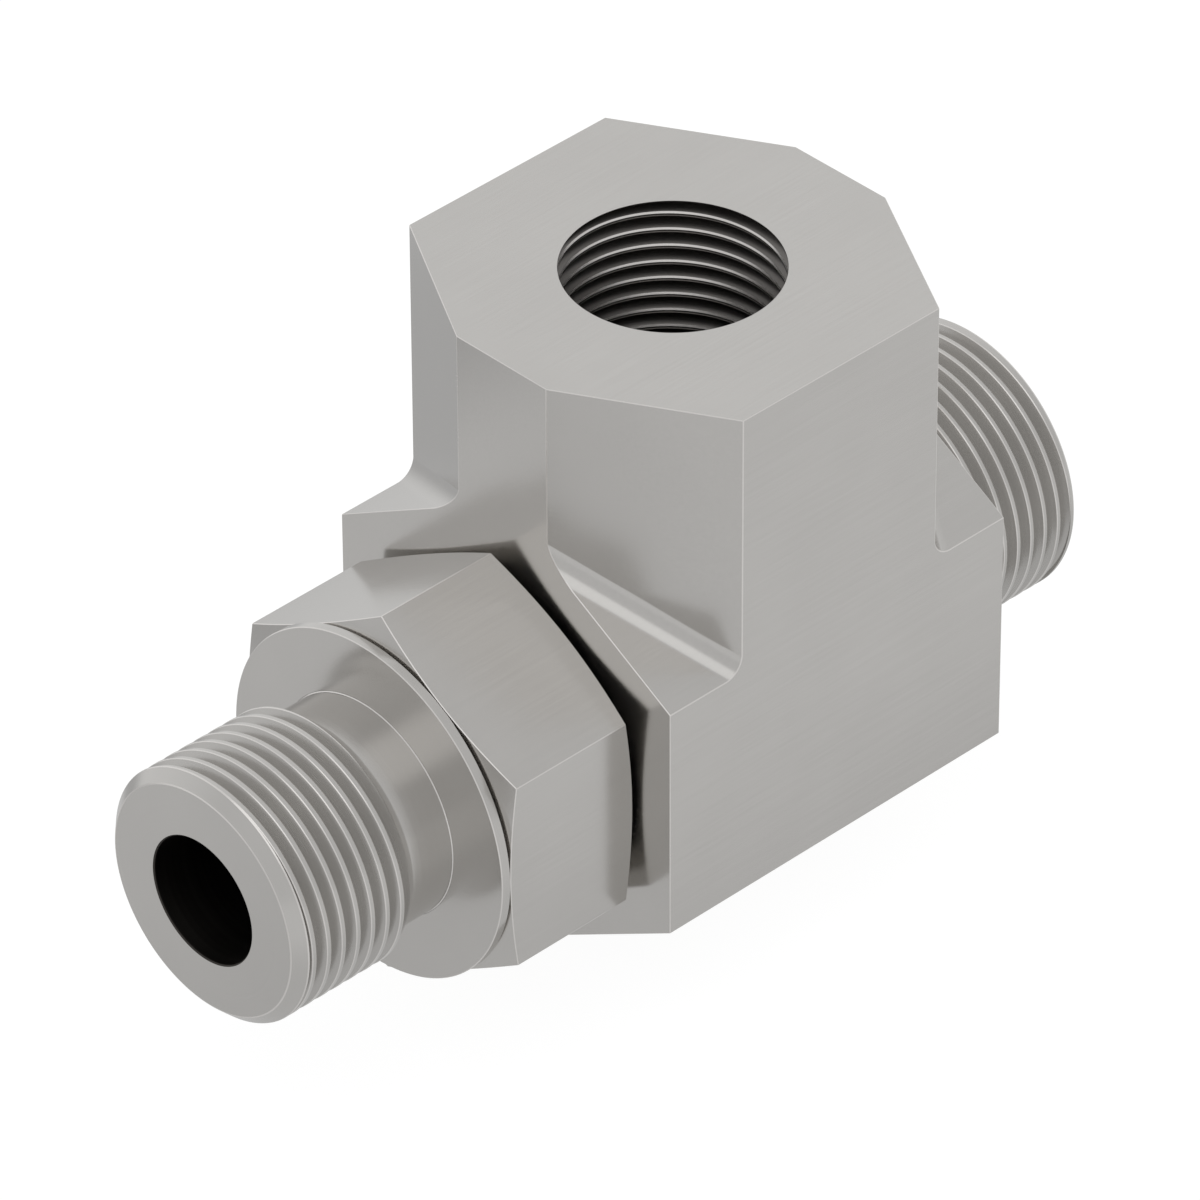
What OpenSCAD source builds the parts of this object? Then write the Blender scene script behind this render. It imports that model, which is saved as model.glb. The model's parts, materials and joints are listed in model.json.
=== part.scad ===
// Run tee for a pressure sensor, turned and milled from steel bar.
// The run lies along X: an adjustable stud end with its lock nut and backup washer points to -X, and a
// larger fixed male thread points to +X. The threaded sensor port points up, and the origin is where the
// axis of the run crosses the axis of the port. Threads are plain cylinders here: male ones at their major
// diameter, the female one at its minor diameter.

/* [Hex body] */
// Size across the flats of the hexagon that the run and the column share
bar_af = 50.8; // [50:0.1:60]
// Distance from the port axis to each end face of the run
run_half = 25.4; // [23:0.1:28]
// Height of the top face above the axis of the run
column_top = 47.6; // [44:0.1:60]
// Radius of the fillets between the column's diagonal faces and the run's sloping faces
blend_r = 3; // [1:0.5:5]

/* [Passages] */
// Diameter of the through bore along the run
flow_d = 15.2; // [13.5:0.1:18]
// Diameter of the passage from the sensor port down to the through bore
branch_d = 12.7; // [6:0.1:12.8]

/* [Threads] */
// Threads per inch of every thread on the fitting
threads_per_inch = 12; // [10:1:16]
// Width of the relief groove where a male thread ends at the body
relief_w = 3; // [2:0.1:4]
// Depth of the relief groove below the root of its thread
relief_below_root = 0.15; // [0.05:0.05:0.3]

/* [Sensor port] */
// Major diameter of the female thread
port_thread_d = 26.99; // [24:0.01:30]
// Depth of the threaded wall below the top face
port_depth = 20; // [15:0.5:22]
// Included angle of the drill that made the port
drill_angle = 118; // [90:1:140]

/* [Adjustable stud end] */
// Major diameter of the stud thread
stud_thread_d = 30.16; // [29.5:0.01:32]
// Length of the thread in front of the neck, with its end chamfer
stud_thread_len = 16.35; // [12:0.05:24]
// Chamfer on the tip of the stud
stud_chamfer = 1.35; // [0.5:0.05:2]
// Diameter of the bare neck behind the front thread
neck_d = 26.6; // [25:0.1:27]
// Turns that the lock nut can run forward from its backed-off place
nut_turns = 2; // [1:0.5:3]
// Bare neck left in front of the washer when the nut is run fully forward
neck_spare = 1.6; // [0.5:0.1:4]
// Length of the neck hidden inside the nut when it is backed off
neck_under_nut = 2.9; // [1.5:0.1:5]

/* [Lock nut] */
// Size across the flats of the nut
nut_af = 41; // [39.5:0.1:46]
// Thickness of the nut
nut_thick = 18.4; // [14:0.1:24]
// Diameter of the flat ring left on each face inside the chamfer
nut_face_d = 39.8; // [37:0.1:41]
// Angle of the chamfer that rounds off the nut's corners
nut_chamfer_angle = 17; // [10:1:30]
// Countersink at each mouth of the nut's bore
nut_countersink = 1; // [0.3:0.1:1.5]
// Gap between the backed-off nut and the end face of the body
nut_gap = 0.6; // [0.2:0.1:2]
// Radial running clearance between the nut and its thread
thread_clear = 0.05; // [0.02:0.01:0.1]

/* [Backup washer] */
// Outside diameter of the washer
washer_d = 41.6; // [38:0.1:46]
// Thickness of the washer
washer_thick = 1.25; // [0.8:0.05:2.5]
// Break on the washer's outer edges
washer_edge = 0.2; // [0.1:0.05:0.35]
// Radial clearance between the washer and the neck
washer_clear = 0.1; // [0.05:0.05:0.3]
// Gap between the washer and the nut's face
washer_gap = 0.1; // [0.05:0.05:0.3]

/* [Fixed male thread] */
// Major diameter of the fixed thread
fixed_thread_d = 33.34; // [33:0.01:40]
// Length of the fixed end beyond the body's end face
fixed_len = 20.7; // [14:0.1:30]
// Chamfer on the tip of the fixed end
fixed_chamfer = 0.9; // [0.3:0.1:1.5]

/* [Face seal] */
// Inside diameter of the sealing ring in the fixed end's face
seal_inner_d = 21.95; // [20.5:0.05:23]
// Diameter of the ring's round section
seal_section = 1.78; // [1.3:0.01:2.2]
// Width of the groove that holds the ring
groove_w = 2.3; // [2.25:0.05:3]
// Height that the relaxed ring stands proud of the face
seal_proud = 0.45; // [0.2:0.05:0.6]
// Clearance between the ring and the floor of its groove
seal_clear = 0.02; // [0.01:0.01:0.1]

/* [Hidden] */
$fn = 96;

inch = 25.4;
pitch = inch / threads_per_inch;
// Depths of the sixty-degree unified thread form, as shares of its pitch
male_root_depth = 0.6134 * pitch;
port_minor_d = port_thread_d - 1.0825 * pitch;

// Overlap that fuses two solids of one piece, and overshoot that carries a cut past a face
fuse = 2;
past = 1;
// Depth that the cutter of the fillets goes past both faces, which leaves a clean line on each
blend_bite = 0.02;

bar_side = bar_af / sqrt(3);
stud_r = stud_thread_d / 2;
neck_r = neck_d / 2;
fixed_r = fixed_thread_d / 2;

// Distances along the stud from the origin, counted outwards
nut_back = run_half + nut_gap;
nut_front = nut_back + nut_thick;
washer_back = nut_front + washer_gap;
washer_front = washer_back + washer_thick;
nut_travel = nut_turns * pitch;
runout_r = stud_r - neck_r;
neck_end = washer_front + nut_travel + neck_spare;
stud_tip = neck_end + runout_r + stud_thread_len;
rear_thread_end = nut_front - neck_under_nut;

fixed_tip = run_half + fixed_len;
seal_mean_r = (seal_inner_d + seal_section) / 2;
groove_depth = seal_section - seal_proud + seal_clear;

steel = "#aeaba8";
nut_steel = "#b2aeab";
seal_rubber = "#1d1d1f";

// Points a solid that is drawn along Z outwards along the stud
module to_stud() {
    rotate([0, -90, 0]) children();
}

// Points a solid that is drawn along Z outwards along the fixed end
module to_fixed_end() {
    rotate([0, 90, 0]) children();
}

// A hexagonal prism along Z with two of its corners in the XZ plane
module hex_prism(across_flats, height) {
    cylinder(d = across_flats / cos(30), h = height, $fn = 6);
}

// The two diagonal pairs of column faces meet the sloping faces of the run in four leaning lines.
// Here the line is the X axis, the column's face is the XZ plane and the run's face falls away from it.
module blend_strip(length) {
    face_turn = acos(1 / 4);
    stand_off = blend_r - blend_bite;
    reach = stand_off * tan(face_turn / 2);
    on_column = [0, reach];
    on_run = reach * [sin(face_turn), -cos(face_turn)];
    inside = -past * [cos(face_turn / 2), sin(face_turn / 2)];
    middle = [stand_off, reach];
    rotate([90, 0, 90]) difference() {
        linear_extrude(length) polygon([on_column, inside, on_run, middle]);
        translate([middle[0], middle[1], -past]) cylinder(r = blend_r, h = length + 2 * past);
    }
}

// The blend strip laid on its line, which climbs one in two along the column's face
module laid_blend() {
    line_climb = atan(1 / 2);
    start_back = 2 * blend_r;
    translate([-bar_side / 2, -bar_af / 2, bar_side / 2]) rotate([0, -line_climb, 120])
        translate([-start_back, 0, 0]) blend_strip(bar_side + 2 * start_back);
}

// The column: the same hexagon stood on end, cut off flush with the ends of the run, with its fillets
module column() {
    intersection() {
        union() {
            hex_prism(bar_af, column_top);
            for (side_x = [0, 1], side_y = [0, 1])
                mirror([side_x, 0, 0]) mirror([0, side_y, 0]) laid_blend();
        }
        translate([-run_half, -bar_af / 2, 0]) cube([2 * run_half, bar_af, column_top]);
    }
}

// The stud from inside the body to its tip: relief, rear thread, neck and front thread
module stud_blank() {
    relief_r = stud_r - male_root_depth - relief_below_root;
    relief_end = run_half + relief_w;
    difference() {
        rotate_extrude() polygon([
            [0, run_half - fuse],
            [relief_r, run_half - fuse],
            [relief_r, relief_end],
            [stud_r, relief_end + stud_r - relief_r],
            [stud_r, rear_thread_end],
            [neck_r, rear_thread_end + stud_r - neck_r],
            [neck_r, neck_end],
            [stud_r, neck_end],
            [stud_r, stud_tip - stud_chamfer],
            [stud_r - stud_chamfer, stud_tip],
            [0, stud_tip]
        ]);
        // The concave run-out that carries the last thread down to the neck
        translate([0, 0, neck_end]) rotate_extrude() translate([stud_r, 0]) circle(r = runout_r);
    }
}

// The fixed end from inside the body to its tip: relief, thread and flat sealing face with its groove
module fixed_blank() {
    relief_r = fixed_r - male_root_depth - relief_below_root;
    relief_end = run_half + relief_w;
    difference() {
        rotate_extrude() polygon([
            [0, run_half - fuse],
            [relief_r, run_half - fuse],
            [relief_r, relief_end],
            [fixed_r, relief_end + fixed_r - relief_r],
            [fixed_r, fixed_tip - fixed_chamfer],
            [fixed_r - fixed_chamfer, fixed_tip],
            [0, fixed_tip]
        ]);
        translate([0, 0, fixed_tip - groove_depth]) difference() {
            cylinder(r = seal_mean_r + groove_w / 2, h = groove_depth + past);
            translate([0, 0, -past]) cylinder(r = seal_mean_r - groove_w / 2, h = groove_depth + 3 * past);
        }
    }
}

// The port as it is drilled and tapped: threaded wall, drill point and passage down to the run
module port_cut() {
    wall_bottom = column_top - port_depth;
    point_h = (port_minor_d - branch_d) / 2 / tan(drill_angle / 2);
    translate([0, 0, wall_bottom]) cylinder(d = port_minor_d, h = port_depth + past);
    translate([0, 0, wall_bottom - point_h]) cylinder(d1 = branch_d, d2 = port_minor_d, h = point_h);
    cylinder(d = branch_d, h = wall_bottom);
}

module tee_body() {
    color(steel) difference() {
        union() {
            translate([-run_half, 0, 0]) to_fixed_end() hex_prism(bar_af, 2 * run_half);
            column();
            to_stud() stud_blank();
            to_fixed_end() fixed_blank();
        }
        translate([-stud_tip - past, 0, 0]) to_fixed_end()
            cylinder(d = flow_d, h = stud_tip + fixed_tip + 2 * past);
        port_cut();
    }
}

module lock_nut() {
    bore_r = stud_r + thread_clear;
    mouth_r = bore_r + nut_countersink;
    outside_r = nut_af / cos(30) / 2 + past;
    drop = (outside_r - nut_face_d / 2) * tan(nut_chamfer_angle);
    color(nut_steel) to_stud() translate([0, 0, nut_back]) difference() {
        intersection() {
            hex_prism(nut_af, nut_thick);
            rotate_extrude() polygon([
                [0, 0],
                [nut_face_d / 2, 0],
                [outside_r, drop],
                [outside_r, nut_thick - drop],
                [nut_face_d / 2, nut_thick],
                [0, nut_thick]
            ]);
        }
        rotate_extrude() polygon([
            [0, -past],
            [mouth_r + past, -past],
            [bore_r, nut_countersink],
            [bore_r, nut_thick - nut_countersink],
            [mouth_r + past, nut_thick + past],
            [0, nut_thick + past]
        ]);
    }
}

module backup_washer() {
    rim_r = washer_d / 2;
    hole_r = neck_r + washer_clear;
    color(steel) to_stud() translate([0, 0, washer_back]) rotate_extrude() polygon([
        [hole_r, 0],
        [rim_r - washer_edge, 0],
        [rim_r, washer_edge],
        [rim_r, washer_thick - washer_edge],
        [rim_r - washer_edge, washer_thick],
        [hole_r, washer_thick]
    ]);
}

module face_seal_o_ring() {
    color(seal_rubber) to_fixed_end()
        translate([0, 0, fixed_tip - groove_depth + seal_clear + seal_section / 2])
            rotate_extrude() translate([seal_mean_r, 0]) circle(d = seal_section);
}

tee_body();
lock_nut();
backup_washer();
face_seal_o_ring();
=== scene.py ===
import json
import math

import bmesh
import bpy
from mathutils import Matrix, Vector


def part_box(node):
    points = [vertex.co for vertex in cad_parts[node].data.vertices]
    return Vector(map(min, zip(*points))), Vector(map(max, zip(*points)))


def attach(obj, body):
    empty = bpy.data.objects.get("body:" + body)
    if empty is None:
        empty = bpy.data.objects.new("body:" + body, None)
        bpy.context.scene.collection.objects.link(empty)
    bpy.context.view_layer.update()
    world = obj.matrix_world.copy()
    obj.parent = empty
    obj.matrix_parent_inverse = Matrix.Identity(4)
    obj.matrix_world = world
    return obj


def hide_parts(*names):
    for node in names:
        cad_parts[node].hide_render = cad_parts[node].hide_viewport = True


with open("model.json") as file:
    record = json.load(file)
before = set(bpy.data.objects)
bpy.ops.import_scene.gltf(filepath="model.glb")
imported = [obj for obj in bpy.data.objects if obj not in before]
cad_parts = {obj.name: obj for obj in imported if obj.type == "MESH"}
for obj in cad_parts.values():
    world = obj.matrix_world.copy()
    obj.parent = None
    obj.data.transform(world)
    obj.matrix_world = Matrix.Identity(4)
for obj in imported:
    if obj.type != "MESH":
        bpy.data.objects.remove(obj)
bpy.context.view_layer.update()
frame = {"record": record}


# The block of the tee body: two lengths of the same hexagon crossing at right angles, milled from one steel
# bar. The column is cut off flush with the ends of the run, and a ball-nosed cutter has left a small fillet
# where its diagonal faces meet the run's slopes. The whole body is zinc plated and its edges are tumbled.
MM = 0.001
body_low, body_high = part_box("tee_body")
half_flats = body_high.y
bar_side = 2 * half_flats / math.sqrt(3)
top = body_high.z
run_half = 25.4 * MM
fillet_radius = 3 * MM
edge_break = 0.09 * MM
# How far the fillet's cutter goes past both faces, and the widest sliver of a face that this leaves
fillet_bite = 0.02 * MM
sliver = 0.06 * MM
# How far a tool stands out past the face that it cuts
past = 1 * MM


def linear(hex_colour):
    """A hex sRGB colour as the linear RGBA that a shader wants."""
    parts = [int(hex_colour[i:i + 2], 16) / 255 for i in (1, 3, 5)]
    return [p / 12.92 if p <= 0.04045 else ((p + 0.055) / 1.055) ** 2.4 for p in parts] + [1]


def add(tree, kind, inputs=(), **settings):
    """Adds a node to a tree, makes its settings, and gives its inputs their values or links."""
    node = tree.nodes.new(kind)
    for name, value in settings.items():
        setattr(node, name, value)
    for socket, value in dict(inputs).items():
        if isinstance(value, bpy.types.NodeSocket):
            tree.links.new(value, node.inputs[socket])
        else:
            node.inputs[socket].default_value = value
    return node


# A cutter's real marks lie about 0.1 mm apart, too fine to show in the render, so they are drawn coarser.
# Streaks run along the bar and are thirty times as long as wide. Clouds are the plating's slow change of
# tone. The blend of marks and clouds lies between its low and its high end.
streak_gap = 0.35 * MM
streak_shape = (0.03, 1, 1)
ring_gap = 0.25 * MM
cloud_size = 9 * MM
blend_low, blend_high = 0.6, 1.4


def metal(name, light, dark, rough, rough_spread, mark_depth, axis=None):
    """Steel: an even tone with faint cutter marks, in rings round an axis or else in streaks along X."""
    material = bpy.data.materials.new(name)
    material.use_nodes = True
    tree = material.node_tree
    shader = tree.nodes["Principled BSDF"]
    place = add(tree, "ShaderNodeTexCoord").outputs["Object"]
    if axis is None:
        marks_place = add(tree, "ShaderNodeMapping", {"Vector": place, "Scale": streak_shape}).outputs[0]
        marks_gap = streak_gap
    else:
        across = [0 if k == "XYZ".index(axis) else 1 for k in range(3)]
        split = add(tree, "ShaderNodeSeparateXYZ", {0: place})
        flat = add(tree, "ShaderNodeVectorMath", {0: place, 1: across}, operation="MULTIPLY")
        radius = add(tree, "ShaderNodeVectorMath", {0: flat.outputs[0]}, operation="LENGTH")
        marks_place = add(tree, "ShaderNodeCombineXYZ", {
            0: split.outputs[axis], 1: radius.outputs["Value"]}).outputs[0]
        marks_gap = ring_gap
    marks = add(tree, "ShaderNodeTexNoise", {"Vector": marks_place, "Scale": 1 / marks_gap, "Detail": 2})
    cloud = add(tree, "ShaderNodeTexNoise", {"Vector": place, "Scale": 1 / cloud_size, "Detail": 3})
    blend = add(tree, "ShaderNodeMath", {0: marks.outputs["Fac"], 1: cloud.outputs["Fac"]}, operation="ADD")
    dullness = add(tree, "ShaderNodeMapRange", {
        "Value": blend.outputs[0], "From Min": blend_low, "From Max": blend_high,
        "To Min": rough - rough_spread, "To Max": rough + rough_spread})
    lightness = add(tree, "ShaderNodeMapRange", {
        "Value": blend.outputs[0], "From Min": blend_low, "From Max": blend_high, "To Min": 0, "To Max": 1})
    shade = add(tree, "ShaderNodeMix", {"Factor": lightness.outputs[0]}, data_type="RGBA")
    shade.inputs["A"].default_value = linear(dark)
    shade.inputs["B"].default_value = linear(light)
    bump = add(tree, "ShaderNodeBump", {
        "Height": marks.outputs["Fac"], "Strength": 1, "Distance": mark_depth})
    shader.inputs["Metallic"].default_value = 1
    tree.links.new(shade.outputs["Result"], shader.inputs["Base Color"])
    tree.links.new(dullness.outputs[0], shader.inputs["Roughness"])
    tree.links.new(bump.outputs[0], shader.inputs["Normal"])
    return material


# Milled faces give an even satin grey that mirrors its surroundings softly, with faint streaks along the bar
milled_steel = metal("bright zinc plated steel, milled", "#d2d0cd", "#cdcbc8", 0.20, 0.02, 0.0002 * MM)
# Edge breaks are painted paler than the faces on their two sides, a painted highlight that draws a fine
# bright line along each corner
painted_highlight_steel = metal("bright zinc plated steel, painted highlight edge", "#edeae7", "#e7e4e1", 0.26, 0.02, 0.0001 * MM)


def piece(name, bm, *materials):
    """A closed mesh object with its faces pointing outwards."""
    bmesh.ops.recalc_face_normals(bm, faces=bm.faces)
    mesh = bpy.data.meshes.new(name)
    bm.to_mesh(mesh)
    bm.free()
    for material in materials:
        mesh.materials.append(material)
    made = bpy.data.objects.new(name, mesh)
    bpy.context.scene.collection.objects.link(made)
    return made


def prism(name, outline, length, place, material):
    """An outline in the XY plane, drawn out along Z and put in place."""
    bm = bmesh.new()
    near = [bm.verts.new((x, y, 0)) for x, y in outline]
    far = [bm.verts.new((x, y, length)) for x, y in outline]
    bm.faces.new(near)
    bm.faces.new(far)
    for i in range(len(outline)):
        j = (i + 1) % len(outline)
        bm.faces.new((near[i], near[j], far[j], far[i]))
    bmesh.ops.transform(bm, matrix=place, verts=bm.verts)
    return piece(name, bm, material)


def settle(blank):
    """Makes a piece's modifiers part of its mesh."""
    evaluated = blank.evaluated_get(bpy.context.evaluated_depsgraph_get())
    before = blank.data
    blank.data = bpy.data.meshes.new_from_object(evaluated)
    blank.modifiers.clear()
    name = before.name
    bpy.data.meshes.remove(before)
    blank.data.name = name


def work(blank, tool, operation):
    """Adds a tool to a blank, cuts it out of it, or keeps what both share, and takes the tool away."""
    change = blank.modifiers.new("work", "BOOLEAN")
    change.operation = operation
    change.object = tool
    change.solver = "MANIFOLD"
    change.material_mode = "TRANSFER"
    settle(blank)
    mesh = tool.data
    bpy.data.objects.remove(tool)
    bpy.data.meshes.remove(mesh)


def hexagon(across_flats):
    """The corners of a hexagon, two of them on the X axis."""
    corner = across_flats / math.sqrt(3)
    return [(corner * math.cos(a), corner * math.sin(a)) for a in (math.radians(60 * k) for k in range(6))]


along_x = Matrix.Rotation(math.radians(90), 4, "Y")
block = prism("machined_tee_body", hexagon(2 * half_flats), 2 * run_half,
              Matrix.Translation((-run_half, 0, 0)) @ along_x, milled_steel)

# The column's plan: the same hexagon with two corners on the X axis, cut off flush with the ends of the run
corner_x = bar_side / 2
cut_y = (bar_side - run_half) * math.sqrt(3)
quarter = [(run_half, cut_y), (corner_x, half_flats)]
plan = quarter + [(-x, y) for x, y in quarter[::-1]] + [(-x, -y) for x, y in quarter] + [
    (x, -y) for x, y in quarter[::-1]]
column = prism("column", plan, top, Matrix(), milled_steel)

# The fillet's outline: its line is the origin, the column's face the Y axis, and the run's slope falls to +X
face_turn = math.acos(1 / 4)
stand_off = fillet_radius - fillet_bite
centre = Vector((stand_off, stand_off * math.tan(face_turn / 2)))
arc_steps = 12
strip = [centre + Vector((math.cos(a), math.sin(a))) * fillet_radius
         for a in (math.pi + face_turn * i / arc_steps for i in range(arc_steps + 1))]
strip.append(-past * Vector((math.cos(face_turn / 2), math.sin(face_turn / 2))))

# The line itself starts where a corner of the column meets the run's upper edge, and climbs one in two
line_start = Matrix.Translation((-bar_side / 2, -half_flats, bar_side / 2))
line_turn = Matrix.Rotation(math.radians(120), 4, "Z")
line_climb = Matrix.Rotation(-math.atan(1 / 2), 4, "Y")
spare_length = 2 * fillet_radius
outline_on_line = Matrix(((0, 0, 1, 0), (1, 0, 0, 0), (0, 1, 0, 0), (0, 0, 0, 1)))
on_line = line_start @ line_turn @ line_climb @ Matrix.Translation((-spare_length, 0, 0)) @ outline_on_line
room = [(-run_half, -half_flats), (run_half, -half_flats), (run_half, half_flats), (-run_half, half_flats)]
for side_x in (1, -1):
    for side_y in (1, -1):
        flip = Matrix.Diagonal((side_x, side_y, 1, 1))
        fillet = prism("fillet", strip, bar_side + 2 * spare_length, flip @ on_line, milled_steel)
        work(fillet, prism("room", room, top, Matrix(), milled_steel), "INTERSECT")
        work(column, fillet, "UNION")
work(block, column, "UNION")

# Its outer edges are broken once the slivers and the seams between faces of one plane are gone
one_plane = math.radians(1)
outer_bend = math.radians(20)
bm = bmesh.new()
bm.from_mesh(block.data)
bmesh.ops.remove_doubles(bm, verts=bm.verts, dist=sliver)
bmesh.ops.dissolve_limit(bm, angle_limit=one_plane, verts=bm.verts, edges=bm.edges)
outer = [e for e in bm.edges if len(e.link_faces) == 2 and e.calc_face_angle_signed(0) > outer_bend]
# The breaks take the pale edge material, a painted highlight along each corner
bmesh.ops.bevel(bm, geom=outer, offset=edge_break, segments=2, profile=0.5, affect="EDGES",
                clamp_overlap=False, material=1)
bm.to_mesh(block.data)
bm.free()
block.data.materials.append(painted_highlight_steel)


# The adjustable stud and the fixed male end, turned on the ends of the run. The stud has a rear thread for
# the lock nut, a bare neck and a front thread. The fixed end has one thread and a flat sealing face with an
# O-ring groove. The run is drilled through, and the port is drilled and tapped from the top of the column.
STEPS = 144
mounts = {mount["name"]: mount for mount in frame["record"]["mounts"]}
nut_low, nut_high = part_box("lock_nut")
washer_low, washer_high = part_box("backup_washer")
seal_low, seal_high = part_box("face_seal_o_ring")
pitch = 25.4 / 12 * MM
root_depth = 0.6134 * pitch
relief = 3 * MM
relief_drop = root_depth + 0.15 * MM
turned_break = 0.1 * MM
# How far a turned end reaches into the block that it is part of
fuse = 2 * MM

# The stud, with the length of its front thread and chamfer together
stud_r = 30.16 / 2 * MM
stud_tip = -body_low.x
stud_chamfer = 1.35 * MM
front_thread = 16.35 * MM
rear_end = -nut_low.x - 2.9 * MM
neck_r = 13.3 * MM
# The neck's fine step, which carries a painted highlight
highlight_step = 0.1 * MM
runout = stud_r - neck_r
front_runout = runout + highlight_step
neck_end = stud_tip - front_thread - front_runout

# The fixed end and its groove
fixed_r = 33.34 / 2 * MM
fixed_tip = 46.1 * MM
fixed_chamfer = 0.15 * MM
seal_section = seal_high.x - seal_low.x
seal_r = seal_high.y - seal_section / 2
groove_half = 2.3 / 2 * MM
groove_floor = seal_low.x - 0.02 * MM

# The bore, the port and the passage between them
flow_r = mounts["flow_bore"]["dims"]["r_mm"] * MM
bore_mouth = 0.15 * MM
port_r = mounts["sensor_port"]["dims"]["r_mm"] * MM
port_depth = mounts["sensor_port"]["dims"]["length_mm"] * MM
wall_bottom = top - port_depth
passage_r = 12.7 / 2 * MM
drill_point = (port_r - passage_r) / math.tan(math.radians(59))

# Turned faces give the same satin grey as the milled ones, with fine rings round the axis
turned_steel = metal("bright zinc plated steel, turned", "#d2d0cd", "#cdcbc8", 0.20, 0.02, 0.0002 * MM, "X")
# The drilled bore is painted a dull dark grey, painted shade for the inside of the bore
painted_shade_bore_steel = metal("bare steel, drilled, painted shade", "#4a4744", "#3c3936", 0.45, 0.05, 0.002 * MM, "X")
# The tapped port is painted a darker grey than the outside, painted shade for the inside of the hole, so that
# only its crests stand out
painted_shade_tapped_steel = metal("bare steel, tapped, painted shade", "#7e7b78", "#757270", 0.30, 0.03, 0.0002 * MM, "Z")
# The breaks of turned corners take the same painted highlight
turned_look = (turned_steel, painted_highlight_steel)


def broken(profile, size, sharp):
    """The profile with its outer corners broken, but for the sharp ones, and which segments are breaks."""
    points, breaks = [], []
    for i, here in enumerate(profile):
        here = Vector(here)
        if 0 < i < len(profile) - 1 and i not in sharp:
            back, on = Vector(profile[i - 1]) - here, Vector(profile[i + 1]) - here
            bend = math.pi - back.angle(on)
            outward = back.x * on.y - back.y * on.x > 0
            if outward and bend > math.radians(25) and min(back.length, on.length) > 2 * size:
                points += [here + back.normalized() * size, here + on.normalized() * size]
                breaks += [False, True]
                continue
        points.append(here)
        breaks.append(False)
    return points, breaks[1:] + [False]


def turned(name, profile, place, materials, size=math.inf, ring=False, sharp=()):
    """A profile of (distance, radius) points, from axis to axis or else a ring, turned round its axis.

    Outer corners with room for it get a break of that size, so an endless size leaves them all sharp.
    """
    if ring:
        profile = list(profile) + [profile[0], profile[1]]
    points, breaks = broken(profile, size, sharp)
    if ring:
        points, breaks = points[1:-1], breaks[1:-1]
    bm = bmesh.new()
    circles = []
    for distance, radius in points:
        if radius < 1e-9:
            circles.append([bm.verts.new((distance, 0, 0))] * STEPS)
        else:
            circles.append([bm.verts.new((distance, radius * math.cos(a), radius * math.sin(a)))
                            for a in (2 * math.pi * k / STEPS for k in range(STEPS))])
    last = len(circles) if ring else len(circles) - 1
    for i in range(last):
        one, two = circles[i], circles[(i + 1) % len(circles)]
        for k in range(STEPS):
            m = (k + 1) % STEPS
            corners = list(dict.fromkeys((one[k], one[m], two[m], two[k])))
            if len(corners) > 2:
                bm.faces.new(corners).material_index = 1 if breaks[i] and len(materials) > 1 else 0
    bmesh.ops.transform(bm, matrix=place, verts=bm.verts)
    return piece(name, bm, *materials)


to_fixed_end = Matrix()
to_stud = Matrix.Rotation(math.pi, 4, "Z")
up = Matrix.Rotation(math.radians(-90), 4, "Y")

runout_steps = 10
stud_profile = [
    (run_half - fuse, 0), (run_half - fuse, stud_r - relief_drop),
    (run_half + relief, stud_r - relief_drop), (run_half + relief + relief_drop, stud_r),
    (rear_end, stud_r), (rear_end + runout, neck_r),
    (-washer_low.x, neck_r), (-washer_low.x + highlight_step, neck_r - highlight_step)]
stud_profile += [(neck_end + front_runout * math.sin(a), stud_r - front_runout * math.cos(a))
                 for a in (math.pi / 2 * i / runout_steps for i in range(runout_steps + 1))]
stud_profile += [(stud_tip - stud_chamfer, stud_r), (stud_tip, stud_r - stud_chamfer), (stud_tip, 0)]
work(block, turned("stud", stud_profile, to_stud, turned_look, turned_break), "UNION")

fixed_profile = [
    (run_half - fuse, 0), (run_half - fuse, fixed_r - relief_drop),
    (run_half + relief, fixed_r - relief_drop), (run_half + relief + relief_drop, fixed_r),
    (fixed_tip - fixed_chamfer, fixed_r), (fixed_tip, fixed_r - fixed_chamfer),
    (fixed_tip, seal_r + groove_half), (groove_floor, seal_r + groove_half),
    (groove_floor, seal_r - groove_half), (fixed_tip, seal_r - groove_half), (fixed_tip, 0)]
work(block, turned("fixed end", fixed_profile, to_fixed_end, turned_look, turned_break), "UNION")

bore_profile = [
    (-stud_tip - past, 0), (-stud_tip - past, flow_r + bore_mouth + past),
    (-stud_tip + bore_mouth, flow_r), (fixed_tip - bore_mouth, flow_r),
    (fixed_tip + past, flow_r + bore_mouth + past), (fixed_tip + past, 0)]
work(block, turned("through bore", bore_profile, to_fixed_end, (painted_shade_bore_steel,)), "DIFFERENCE")

port_profile = [
    (0, 0), (0, passage_r), (wall_bottom - drill_point, passage_r), (wall_bottom, port_r),
    (top + past, port_r), (top + past, 0)]
work(block, turned("port", port_profile, up, (painted_shade_tapped_steel,)), "DIFFERENCE")


# The threads: a single-point tool cuts each groove, with flanks at sixty degrees to each other, along a
# helix of 12 turns to the inch, and a second light pass breaks the edges of its crests. The port's thread is
# cut from inside.

# Thread flanks are painted a slightly darker grey than the turned faces beside them, painted shade for the
# grooves, and are duller
painted_shade_flank_steel = metal(
    "bright zinc plated steel, thread flank, painted shade", "#c9c7c4", "#c3c1be", 0.26, 0.03, 0.0002 * MM, "X")


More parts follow.
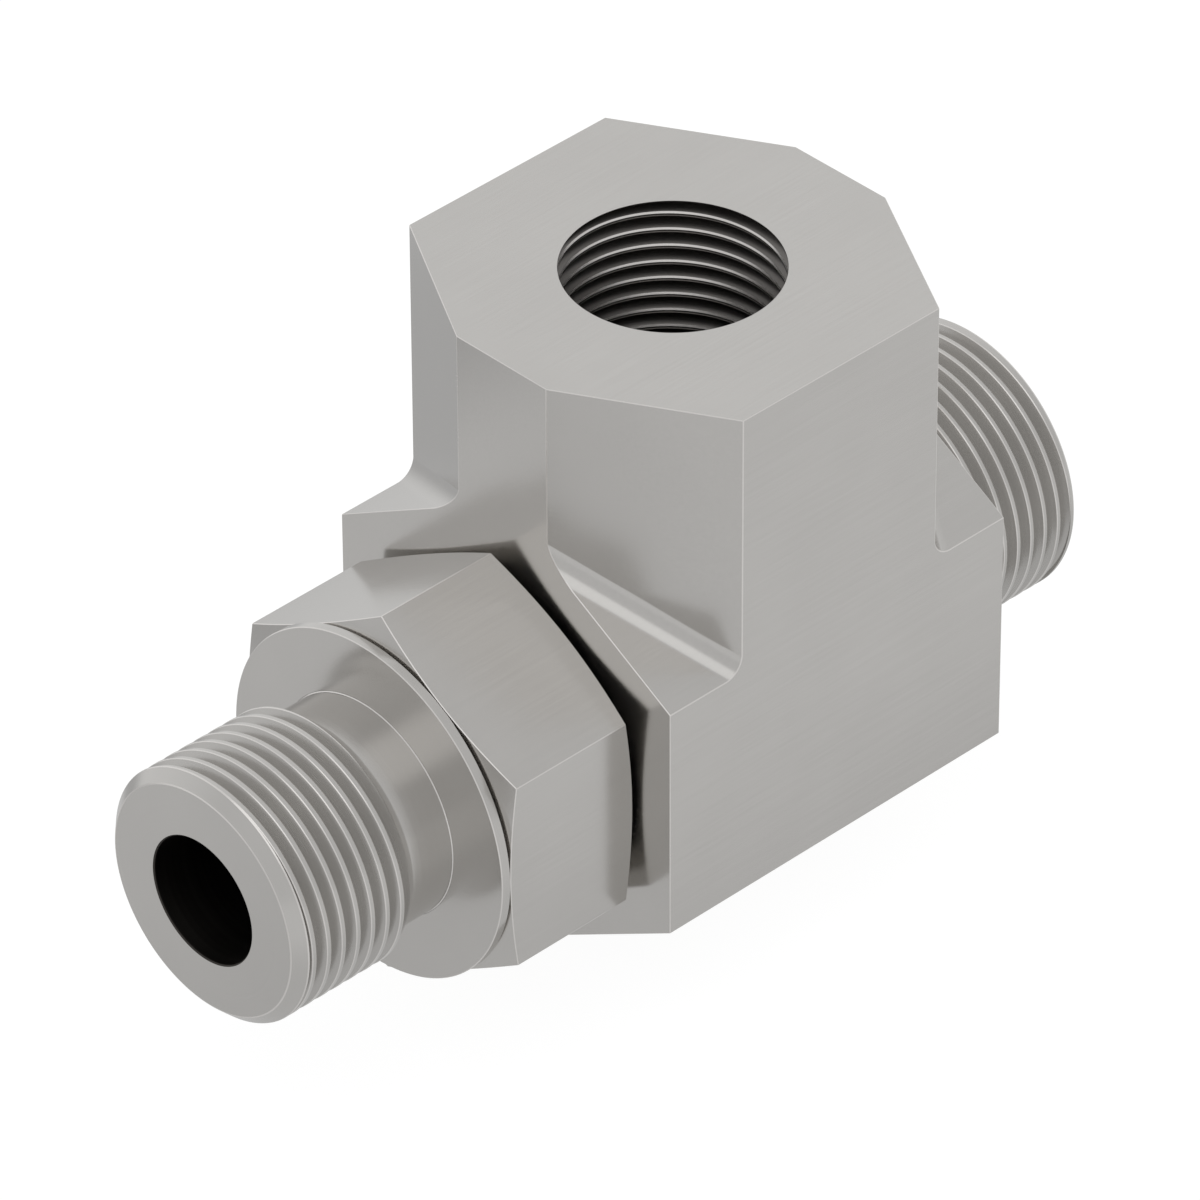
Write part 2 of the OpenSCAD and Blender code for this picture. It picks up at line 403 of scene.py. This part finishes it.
def thread_tree():
    """The tool's path as geometry: a spiral with the tool's trapezoid carried along it."""
    tree = bpy.data.node_groups.new("thread tool path", "GeometryNodeTree")
    for name, kind in (("Path radius", "Float"), ("Pitch", "Float"), ("Turns", "Float"),
                       ("Steps per turn", "Int"), ("Tool height", "Float"), ("Inner width", "Float"),
                       ("Outer width", "Float"), ("Surface", "Material")):
        tree.interface.new_socket(name, in_out="INPUT", socket_type="NodeSocket" + kind)
    tree.interface.new_socket("Tool path", in_out="OUTPUT", socket_type="NodeSocketGeometry")
    given = add(tree, "NodeGroupInput").outputs
    rise = add(tree, "ShaderNodeMath", {0: given["Pitch"], 1: given["Turns"]}, operation="MULTIPLY")
    spiral = add(tree, "GeometryNodeCurveSpiral", {
        "Resolution": given["Steps per turn"], "Rotations": given["Turns"], "Height": rise.outputs[0],
        "Start Radius": given["Path radius"], "End Radius": given["Path radius"], "Reverse": True})
    level = add(tree, "GeometryNodeSetCurveNormal", {"Curve": spiral.outputs[0]}, mode="Z_UP")
    outline = add(tree, "GeometryNodeCurvePrimitiveQuadrilateral", {
        "Height": given["Tool height"], "Bottom Width": given["Inner width"],
        "Top Width": given["Outer width"], "Offset": 0.0}, mode="TRAPEZOID")
    stood = add(tree, "GeometryNodeTransform", {
        "Geometry": outline.outputs[0], "Rotation": (0, 0, math.radians(-90))})
    swept = add(tree, "GeometryNodeCurveToMesh", {
        "Curve": level.outputs[0], "Profile Curve": stood.outputs[0], "Fill Caps": True})
    real = add(tree, "GeometryNodeRealizeInstances", {0: swept.outputs[0]})
    finish = add(tree, "GeometryNodeSetMaterial", {"Geometry": real.outputs[0], "Material": given["Surface"]})
    add(tree, "NodeGroupOutput", {0: finish.outputs[0]})
    return tree


tool_path = thread_tree()
flank_lean = math.tan(math.radians(30))
break_lean = flank_lean + 1


def cut_thread(blank, surface_r, start, turns, place, crest, nick, stop, steel=painted_shade_flank_steel, inside=False):
    """Cuts a helical groove into a cylinder of that radius, along the axis of place and only up to stop."""
    # Each pass: the tool's depth, how far it stands proud, its width at the surface, its lean, what it leaves
    gap = pitch - crest
    passes = (
        (root_depth, 0.3 * crest, gap, flank_lean, steel),
        # The second pass leaves its breaks in the pale edge material, a painted highlight along the crests
        (1.6 * nick, 0.3 * nick, gap + 2 * nick, break_lean, painted_highlight_steel))
    for depth, proud, width, lean, surface in passes:
        middle = (proud - depth) / 2
        widths = [width - 2 * depth * lean, width + 2 * proud * lean]
        if inside:
            middle = -middle
            widths.reverse()
        values = {
            "Path radius": surface_r + middle, "Pitch": pitch, "Turns": turns, "Steps per turn": STEPS,
            "Tool height": depth + proud, "Inner width": widths[0], "Outer width": widths[1],
            "Surface": surface}
        tool = bpy.data.objects.new("thread tool", bpy.data.meshes.new("thread tool"))
        bpy.context.scene.collection.objects.link(tool)
        made = tool.modifiers.new("tool path", "NODES")
        made.node_group = tool_path
        for socket in tool_path.interface.items_tree:
            if socket.in_out == "INPUT":
                made[socket.identifier] = values[socket.name]
        settle(tool)
        tool.data.transform(place @ Matrix.Translation((start, 0, 0)) @ along_x)
        bm = bmesh.new()
        bm.from_mesh(tool.data)
        bmesh.ops.recalc_face_normals(bm, faces=bm.faces)
        bm.to_mesh(tool.data)
        bm.free()
        reach = [(0, 0), (0, 2 * surface_r), (stop, 2 * surface_r), (stop, 0)]
        work(tool, turned("reach", reach, place, (surface,)), "INTERSECT")
        work(blank, tool, "DIFFERENCE")


# The widths of the crests, and of the breaks on their edges
front_crest = 0.56 * MM
rear_crest = 0.3 * MM
fixed_crest = 0.5 * MM
port_crest = 0.45 * MM
nick = 0.07 * MM
port_nick = 0.13 * MM

# Where each helix starts, how many turns it runs and where it stops. The front thread stops short of the
# tip's chamfer, the fixed end's short of its tip and the port's short of the top face.
front_start = neck_end - 0.35 * MM
front_turns = 8.6
stud_stop = stud_tip - stud_chamfer - 0.1 * MM
rear_start = run_half + 1.1 * MM
rear_turns = 5
fixed_start = run_half + 2.86 * MM
fixed_turns = 7.92
fixed_stop = fixed_tip - 0.65 * MM
port_start = wall_bottom + pitch
port_turns = 10
port_stop = top - 0.15 * MM

cut_thread(block, stud_r, front_start, front_turns, to_stud, front_crest, nick, stud_stop)
cut_thread(block, stud_r, rear_start, rear_turns, to_stud, rear_crest, nick, stud_stop)
cut_thread(block, fixed_r, fixed_start, fixed_turns, to_fixed_end, fixed_crest, nick, fixed_stop)
cut_thread(block, port_r, port_start, port_turns, up, port_crest, port_nick, port_stop, painted_shade_tapped_steel, True)

# The neck's fine step, just in front of the place where the washer rests, is painted bright: a painted
# highlight in the pale edge material
for face in block.data.polygons:
    on_step = washer_low.x - highlight_step < face.center.x < washer_low.x
    if on_step and flow_r + past < face.center.yz.length < stud_r:
        face.material_index = 1


def fit(finished, body, node):
    """Smooths a piece's round faces between true sharp edges and puts it in its place in the assembly."""
    finished.data.shade_smooth()
    finished.data.set_sharp_from_angle(angle=math.radians(18))
    weighted = finished.modifiers.new("weighted normals", "WEIGHTED_NORMAL")
    weighted.keep_sharp = True
    weighted.weight = 100
    settle(finished)
    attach(finished, body)
    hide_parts(node)


fit(block, "tee", "tee_body")


# The lock nut: hexagon bar with both faces turned to a shallow cone that rounds off the corners, bored and
# tapped. It is plated like the body and stands backed off close to it.
nut_flats = nut_high.y - nut_low.y
nut_thick = nut_high.x - nut_low.x
nut_face_r = 39.8 / 2 * MM
nut_outer_r = nut_flats / math.sqrt(3) + past
cone = (nut_outer_r - nut_face_r) * math.tan(math.radians(17))
nut_break = 0.08 * MM
nut_sliver = 0.01 * MM
cone_bend = math.radians(12)
nut_bore_r = stud_r + 0.05 * MM
countersink = 1 * MM
nut_place = Matrix.Translation((nut_low.x, 0, 0))
nut = prism("tapped_lock_nut", hexagon(nut_flats), nut_thick, nut_place @ along_x, milled_steel)
nut_blank = [
    (0, 0), (0, nut_face_r), (cone, nut_outer_r), (nut_thick - cone, nut_outer_r),
    (nut_thick, nut_face_r), (nut_thick, 0)]
work(nut, turned("nut faces", nut_blank, nut_place, (turned_steel,)), "INTERSECT")
bm = bmesh.new()
bm.from_mesh(nut.data)
bmesh.ops.remove_doubles(bm, verts=bm.verts, dist=nut_sliver)
outer = [e for e in bm.edges if e.calc_face_angle_signed(0) > cone_bend]
# Its breaks take the pale edge material, a painted highlight
bmesh.ops.bevel(bm, geom=outer, offset=nut_break, segments=1, profile=0.5, affect="EDGES",
                clamp_overlap=True, material=2)
bm.to_mesh(nut.data)
bm.free()
nut.data.materials.append(painted_highlight_steel)
nut_hole = [
    (-past, 0), (-past, nut_bore_r + countersink + past), (countersink, nut_bore_r),
    (nut_thick - countersink, nut_bore_r), (nut_thick + past, nut_bore_r + countersink + past),
    (nut_thick + past, 0)]
work(nut, turned("nut hole", nut_hole, nut_place, (turned_steel,)), "DIFFERENCE")

# Its helix runs a turn past both faces
nut_turns = nut_thick / pitch + 2
cut_thread(nut, nut_bore_r, -nut_high.x - pitch, nut_turns, to_stud, rear_crest, nick, -nut_low.x + pitch,
           inside=True)
fit(nut, "nut", "lock_nut")


# The backup washer: a plain ring turned from plate, its rims lightly broken, loose on the stud's neck.
# Its hole keeps one sharp corner, at the front, where the neck's step with its painted highlight shows.
washer_thick = washer_high.x - washer_low.x
washer_r = washer_high.y
washer_hole_r = neck_r + 0.03 * MM
washer_place = Matrix.Translation((washer_low.x, 0, 0))
washer_profile = [
    (0, washer_r), (washer_thick, washer_r), (washer_thick, washer_hole_r), (0, washer_hole_r)]
washer = turned("turned_backup_washer", washer_profile, washer_place, turned_look, turned_break,
                ring=True, sharp=(3,))
fit(washer, "washer", "backup_washer")


# The face seal: an O-ring moulded in black nitrile rubber, lying loose in the groove of the fixed end's face.
# It is squeezed flat only when a tube end is screwed on.

# Moulded rubber gives a deep black with a soft sheen, which a bloom dulls in patches. Its grain is much finer
# than a pixel and is drawn coarser, to break up the highlight.
bloom_size = 1.5 * MM
grain_size = 0.12 * MM
grain_depth = 0.004 * MM
rubber = bpy.data.materials.new("nitrile rubber, moulded")
rubber.use_nodes = True
tree = rubber.node_tree
shader = tree.nodes["Principled BSDF"]
place = add(tree, "ShaderNodeTexCoord").outputs["Object"]
bloom = add(tree, "ShaderNodeTexNoise", {"Vector": place, "Scale": 1 / bloom_size, "Detail": 3})
grain = add(tree, "ShaderNodeTexNoise", {"Vector": place, "Scale": 1 / grain_size, "Detail": 2})
tone = add(tree, "ShaderNodeMix", {"Factor": bloom.outputs["Fac"]}, data_type="RGBA")
tone.inputs["A"].default_value = linear("#1a1a1c")
tone.inputs["B"].default_value = linear("#262628")
sheen = add(tree, "ShaderNodeMapRange", {"Value": bloom.outputs["Fac"], "To Min": 0.42, "To Max": 0.6})
bump = add(tree, "ShaderNodeBump", {"Height": grain.outputs["Fac"], "Strength": 1, "Distance": grain_depth})
tree.links.new(tone.outputs["Result"], shader.inputs["Base Color"])
tree.links.new(sheen.outputs[0], shader.inputs["Roughness"])
tree.links.new(bump.outputs[0], shader.inputs["Normal"])

ring_steps = 20
seal_profile = [(seal_section / 2 * math.cos(a), seal_r + seal_section / 2 * math.sin(a))
                for a in (2 * math.pi * k / ring_steps for k in range(ring_steps))]
seal_place = Matrix.Translation(((seal_low.x + seal_high.x) / 2, 0, 0))
seal = turned("moulded_face_seal", seal_profile, seal_place, (rubber,), ring=True)
fit(seal, "tee", "face_seal_o_ring")


# The floor: white paper under the body's lowest edge. The camera sees it white with a faint shadow. Metal
# sees a painted
# reflection: for glossy rays it glows a soft grey that changes from in front of the object to behind it.
floor_z = body_low.z
floor_half = 4
paper_near, paper_far = -0.06, 0.22
painted_reflection_tones = (
    (0.0, "#dadada"), (0.1, "#cdcdcd"), (0.25, "#c7c7c7"), (0.38, "#cfcfcf"), (0.47, "#d3d3d3"),
    (0.52, "#b8b8b8"), (0.65, "#b8b8b8"), (1.0, "#e6e6e6"))
floor_mesh = bpy.data.meshes.new("floor")
floor_corners = [(x * floor_half, y * floor_half, floor_z) for x, y in ((-1, -1), (1, -1), (1, 1), (-1, 1))]
floor_mesh.from_pydata(floor_corners, [], [(0, 1, 2, 3)])
floor = bpy.data.objects.new("floor", floor_mesh)
bpy.context.scene.collection.objects.link(floor)
sweep = bpy.data.materials.new("white paper sweep")
sweep.use_nodes = True
tree = sweep.node_tree
tree.nodes.clear()
rays = add(tree, "ShaderNodeLightPath").outputs
place = add(tree, "ShaderNodeTexCoord").outputs["Object"]
split = add(tree, "ShaderNodeSeparateXYZ", {0: place})
depth_in = add(tree, "ShaderNodeMapRange", {
    "Value": split.outputs["Y"], "From Min": paper_near, "From Max": paper_far})
tones = add(tree, "ShaderNodeValToRGB", {0: depth_in.outputs[0]})
stops = tones.color_ramp.elements
stops.remove(stops[1])
for share, grey in painted_reflection_tones:
    stops.new(share).color = linear(grey)
stops.remove(stops[0])
bounced = add(tree, "ShaderNodeMath", {
    0: rays["Is Glossy Ray"], 1: rays["Is Transmission Ray"]}, operation="MAXIMUM")
# The glossy rays' grey is a painted reflection that glows with the graded tones
dull = add(tree, "ShaderNodeEmission", {"Color": tones.outputs[0], "Strength": 1})
glow = add(tree, "ShaderNodeEmission", {"Color": linear("#ffffff"), "Strength": 0.93})
weak = add(tree, "ShaderNodeBsdfDiffuse", {"Color": linear("#6b6b6b")})
white = add(tree, "ShaderNodeAddShader", {0: glow.outputs[0], 1: weak.outputs[0]})
paper = add(tree, "ShaderNodeBsdfDiffuse", {"Color": linear("#e6e6e6")})
unseen = add(tree, "ShaderNodeMixShader", {0: bounced.outputs[0], 1: paper.outputs[0], 2: dull.outputs[0]})
mixed = add(tree, "ShaderNodeMixShader", {
    0: rays["Is Camera Ray"], 1: unseen.outputs[0], 2: white.outputs[0]})
add(tree, "ShaderNodeOutputMaterial", {"Surface": mixed.outputs[0]})
floor_mesh.materials.append(sweep)


# The light: a soft sky, which metal sees brighter to the far right and the camera sees white, and one large
# soft lamp overhead.
far_right = (0.5, 1, 0)
sky_level = 0.7
dimmest, brightest = 0.64, 0.78
world = bpy.data.worlds.new("soft sky")
world.use_nodes = True
tree = world.node_tree
tree.nodes.clear()
rays = add(tree, "ShaderNodeLightPath").outputs
direction = add(tree, "ShaderNodeTexCoord").outputs["Generated"]
toward = add(tree, "ShaderNodeVectorMath", {0: direction, 1: far_right}, operation="DOT_PRODUCT")
strength = add(tree, "ShaderNodeMapRange", {
    "Value": toward.outputs["Value"], "From Min": -0.02, "From Max": 0.83, "To Min": dimmest,
    "To Max": brightest})
sky = add(tree, "ShaderNodeBackground", {"Color": linear("#ffffff"), "Strength": sky_level})
backdrop = add(tree, "ShaderNodeBackground", {"Color": linear("#ffffff"), "Strength": strength.outputs[0]})
white = add(tree, "ShaderNodeBackground", {"Color": linear("#ffffff"), "Strength": 1})
bounced = add(tree, "ShaderNodeMath", {
    0: rays["Is Glossy Ray"], 1: rays["Is Transmission Ray"]}, operation="MAXIMUM")
unseen = add(tree, "ShaderNodeMixShader", {0: bounced.outputs[0], 1: sky.outputs[0], 2: backdrop.outputs[0]})
mixed = add(tree, "ShaderNodeMixShader", {
    0: rays["Is Camera Ray"], 1: unseen.outputs[0], 2: white.outputs[0]})
add(tree, "ShaderNodeOutputWorld", {"Surface": mixed.outputs[0]})

lamp_data = bpy.data.lights.new("softbox", "AREA")
lamp_data.shape = "DISK"
lamp_data.size = 2
lamp_data.energy = 3.2
lamp = bpy.data.objects.new("softbox", lamp_data)
bpy.context.scene.collection.objects.link(lamp)
lamp_from = Vector((-0.25, -0.32, 0.91)).normalized()
lamp_distance = 1.8
lamp.location = lamp_from * lamp_distance
lamp.rotation_euler = lamp_from.to_track_quat("Z", "Y").to_euler()


# The camera: a long lens that looks down at the stud's end and the body's near side. Its angles, target and
# distance were fitted to the body's corners.
azimuth, elevation, roll = math.radians(-44.105), math.radians(36.548), math.radians(-0.253)
target = Vector((-4.57, 6.67, 2.16)) * MM
distance = 1163.9 * MM
back = Vector((math.sin(azimuth) * math.cos(elevation), -math.cos(azimuth) * math.cos(elevation),
               math.sin(elevation)))
right = Vector((0, 0, 1)).cross(back).normalized()
above = back.cross(right)
rolled_right = right * math.cos(roll) + above * math.sin(roll)
rolled_above = above * math.cos(roll) - right * math.sin(roll)
camera_data = bpy.data.cameras.new("camera")
camera_data.sensor_width = 36
camera_data.lens = 319.6
camera_data.clip_end = 20
camera = bpy.data.objects.new("camera", camera_data)
camera.matrix_world = Matrix((rolled_right, rolled_above, back)).transposed().to_4x4()
camera.location = target + back * distance

scene = bpy.context.scene
scene.collection.objects.link(camera)
scene.camera = camera
scene.world = world
scene.view_settings.view_transform = "Standard"
